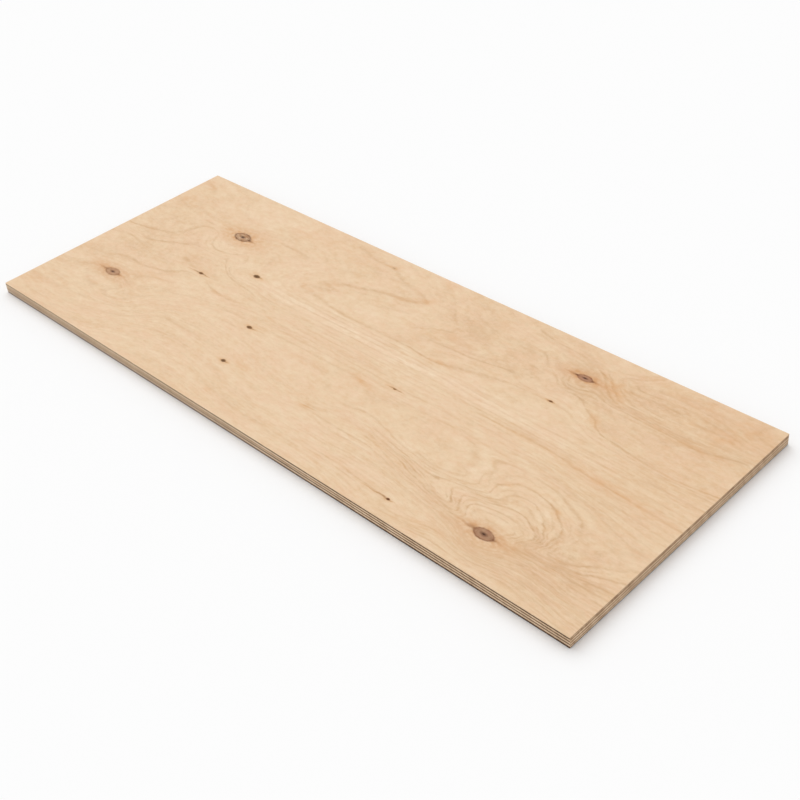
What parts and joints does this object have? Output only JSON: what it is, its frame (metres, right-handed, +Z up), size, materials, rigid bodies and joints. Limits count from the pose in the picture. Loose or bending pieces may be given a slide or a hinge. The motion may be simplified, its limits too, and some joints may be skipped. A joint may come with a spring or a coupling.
{
  "type": "plywood sheet",
  "caption": "Flat rectangular birch plywood panel, cut to size, with a knotty face veneer and its crossed plies showing on the sawn edges.",
  "frame": {"origin": "centre of the underside, on the floor that the sheet lies on", "axes": "+X along the length and the face grain, +Y across the width, +Z up out of the face"},
  "size_m": [0.78, 0.3, 0.012],
  "materials": {
    "face_birch": "sanded pale birch face veneer, knots and flame grain, uncoated",
    "long_birch": "sawn birch ply, grain along the sheet",
    "cross_birch": "sawn birch ply, grain across the sheet",
    "back_birch": "sanded birch back veneer, plain grain, uncoated"
  },
  "bodies": {
    "root": {"face_veneer": "face_birch", "cross_ply_2": "cross_birch", "long_ply_3": "long_birch", "cross_ply_4": "cross_birch", "long_ply_5": "long_birch", "cross_ply_6": "cross_birch", "long_ply_7": "long_birch", "cross_ply_8": "cross_birch", "back_veneer": "back_birch"}
  },
  "joints": []
}
